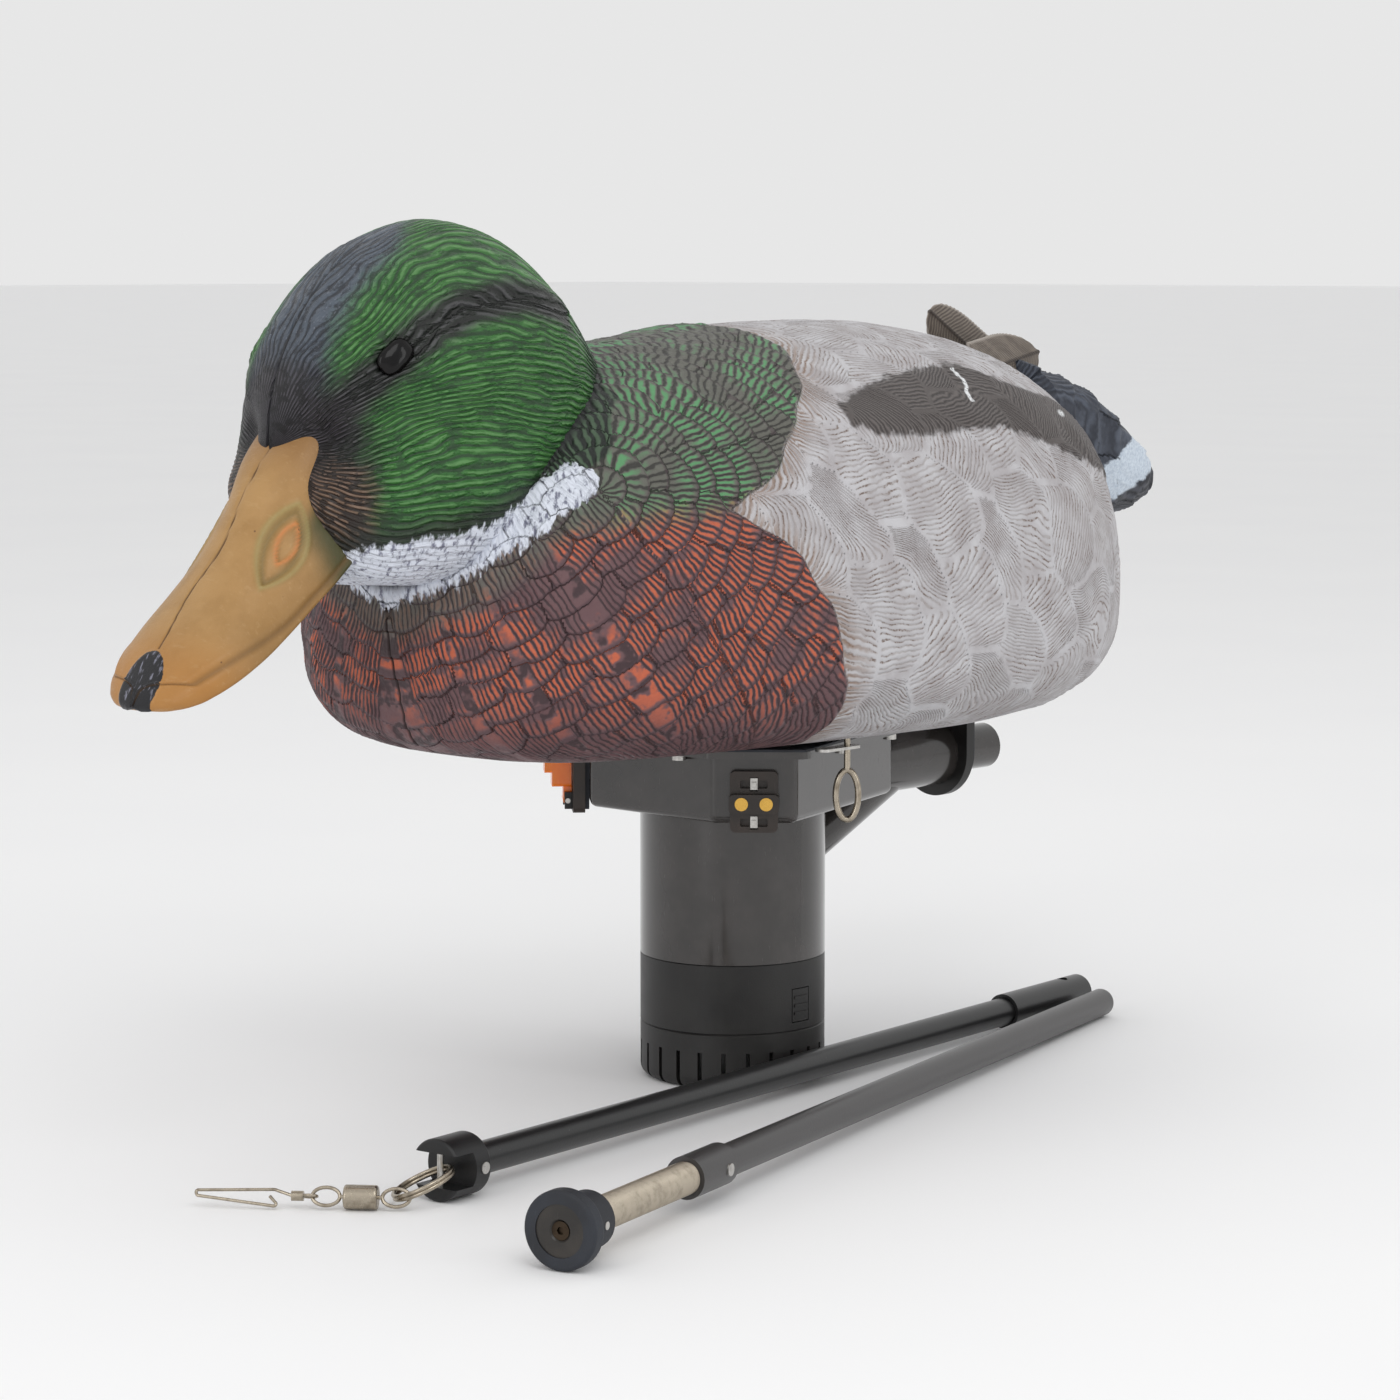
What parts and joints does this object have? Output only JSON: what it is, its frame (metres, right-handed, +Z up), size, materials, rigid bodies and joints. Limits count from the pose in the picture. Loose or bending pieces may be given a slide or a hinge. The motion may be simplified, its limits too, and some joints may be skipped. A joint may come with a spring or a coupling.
{
  "type": "swimming duck decoy",
  "caption": "Hollow moulded drake on a submersible pump whose rear jet drives it, with a strainer foot, charging contacts, a power paddle and a two-part tether pole.",
  "frame": {"origin": "centre of the pump's foot, on the surface that it stands on", "axes": "+Z up, the duck faces -Y with its jet towards +Y, its left side is +X"},
  "size_m": [0.3213, 0.581, 0.3668],
  "materials": {
    "body_paint": "moulded plumage, airbrushed",
    "head_paint": "moulded plumage, airbrushed",
    "housing_plastic": "glossy moulded",
    "pump_plastic": "satin moulded",
    "port_plastic": "satin moulded",
    "orange_plastic": "moulded",
    "black_plastic": "satin moulded",
    "black_rubber": "moulded",
    "steel": "bright",
    "nickel": "nickel plated",
    "spring_steel": "close-wound wire",
    "brass": "turned",
    "pole_black": "satin powder coat",
    "pole_grey": "satin powder coat",
    "magnet_dark": "plated",
    "cell_wrap": "shrink sleeve",
    "board_green": "solder mask",
    "iron": "laminated",
    "bronze": "sintered"
  },
  "bodies": {
    "duck": {"body_shell": "body_paint", "head_shell": "head_paint", "drive_housing": "housing_plastic", "lid_gasket": "black_rubber", "housing_lid": "housing_plastic", "lid_screws": "steel", "hull_gasket": "black_rubber", "flange_screws": "steel", "battery_tray": "black_plastic", "battery_cells": "cell_wrap", "control_board": "board_green", "motor_case": "steel", "motor_bushes": "bronze", "motor_magnets": "iron", "shaft_seal": "black_rubber", "volute_ring": "pump_plastic", "riser_duct": "pump_plastic", "discharge_duct": "housing_plastic", "jet_nozzle": "housing_plastic", "nozzle_bracket": "pump_plastic", "nozzle_washer": "black_rubber", "bracket_screws": "steel", "charge_block": "port_plastic", "charge_contacts": "brass", "charge_clips": "steel", "charge_feed": "black_rubber", "switch_gasket": "black_rubber", "switch_cover": "port_plastic", "power_switch": "black_plastic", "switch_bezel": "black_plastic", "paddle_pin": "steel", "tether_eye": "nickel", "eye_strap": "steel", "eye_nut": "steel"},
    "rotor": {"motor_shaft": "steel", "rotor_core": "iron", "impeller": "black_plastic"},
    "strainer": {"strainer_basket": "pump_plastic"},
    "tab_left": {"release_tab_left": "pump_plastic"},
    "tab_right": {"release_tab_right": "pump_plastic"},
    "paddle": {"power_paddle": "orange_plastic"},
    "pole_a": {"pole_a_tube": "pole_black", "pole_a_ferrule": "pole_black", "pole_a_fork": "black_plastic", "fork_pin": "steel", "pole_a_rivet": "steel"},
    "ring": {"split_ring": "nickel"},
    "ring_eye": {"swivel_ring_eye": "nickel"},
    "barrel": {"swivel_barrel": "nickel"},
    "snap_eye": {"swivel_snap_eye": "nickel"},
    "snap": {"snap_clip": "nickel"},
    "pole_b": {"pole_b_tube": "pole_grey", "pole_b_nose": "pole_grey", "pole_b_sleeve": "pole_grey", "pole_b_rivet": "steel", "pole_b_spring": "spring_steel"},
    "pole_b_tip": {"pole_b_cap": "black_rubber", "cap_pin": "steel", "magnet": "magnet_dark", "magnet_screw": "brass"}
  },
  "joints": [
    {"name": "impeller_spin", "type": "hinge", "parent": "duck", "child": "rotor", "pos_m": [0, 0, 0.04], "axis": [0, 0, 1], "continuous": true},
    {"name": "strainer_release", "type": "slide", "parent": "duck", "child": "strainer", "axis": [0, 0, -1], "range_m": [0, 0.03]},
    {"name": "tab_left_press", "type": "slide", "parent": "duck", "child": "tab_left", "axis": [-1, 0, 0], "range_m": [0, 0.0025], "stiffness_N_per_m": 400},
    {"name": "tab_right_press", "type": "slide", "parent": "duck", "child": "tab_right", "axis": [1, 0, 0], "range_m": [0, 0.0025], "stiffness_N_per_m": 400},
    {"name": "paddle_tilt", "type": "hinge", "parent": "duck", "child": "paddle", "pos_m": [-0.05503, -0.04632, 0.1196], "axis": [0.749, -0.6626, 0], "range_deg": [0, 35]},
    {"name": "pole_a_lift", "type": "slide", "parent": "duck", "child": "pole_a", "axis": [0, 0, 1], "range_m": [0, 0.08]},
    {"name": "ring_swing", "type": "hinge", "parent": "pole_a", "child": "ring", "pos_m": [0.07963, -0.24612, 0.01218], "axis": [-0.0011, 0.0082, 1], "range_deg": [-25, 25]},
    {"name": "ring_eye_swing", "type": "hinge", "parent": "ring", "child": "ring_eye", "pos_m": [0.0802, -0.2664, 0.0049], "axis": [0.96, -0.0503, 0.2756], "range_deg": [-30, 30]},
    {"name": "barrel_spin", "type": "hinge", "parent": "ring_eye", "child": "barrel", "pos_m": [0.06842, -0.27584, 0.0049], "axis": [-0.7804, -0.6253, 0], "continuous": true},
    {"name": "snap_eye_spin", "type": "hinge", "parent": "barrel", "child": "snap_eye", "pos_m": [0.06842, -0.27584, 0.0049], "axis": [-0.7804, -0.6253, 0], "continuous": true},
    {"name": "snap_swing", "type": "hinge", "parent": "snap_eye", "child": "snap", "pos_m": [0.05527, -0.28638, 0.0049], "axis": [0.5743, -0.7167, 0.3957], "range_deg": [-25, 25]},
    {"name": "pole_b_lift", "type": "slide", "parent": "duck", "child": "pole_b", "axis": [0, 0, 1], "range_m": [0, 0.08]},
    {"name": "pole_b_flex", "type": "hinge", "parent": "pole_b", "child": "pole_b_tip", "pos_m": [0.16947, -0.23179, 0.01378], "axis": [-0.9594, -0.2821, 0], "range_deg": [0, 40], "stiffness_Nm_per_rad": 0.6, "deforming": ["pole_b_spring"]}
  ]
}
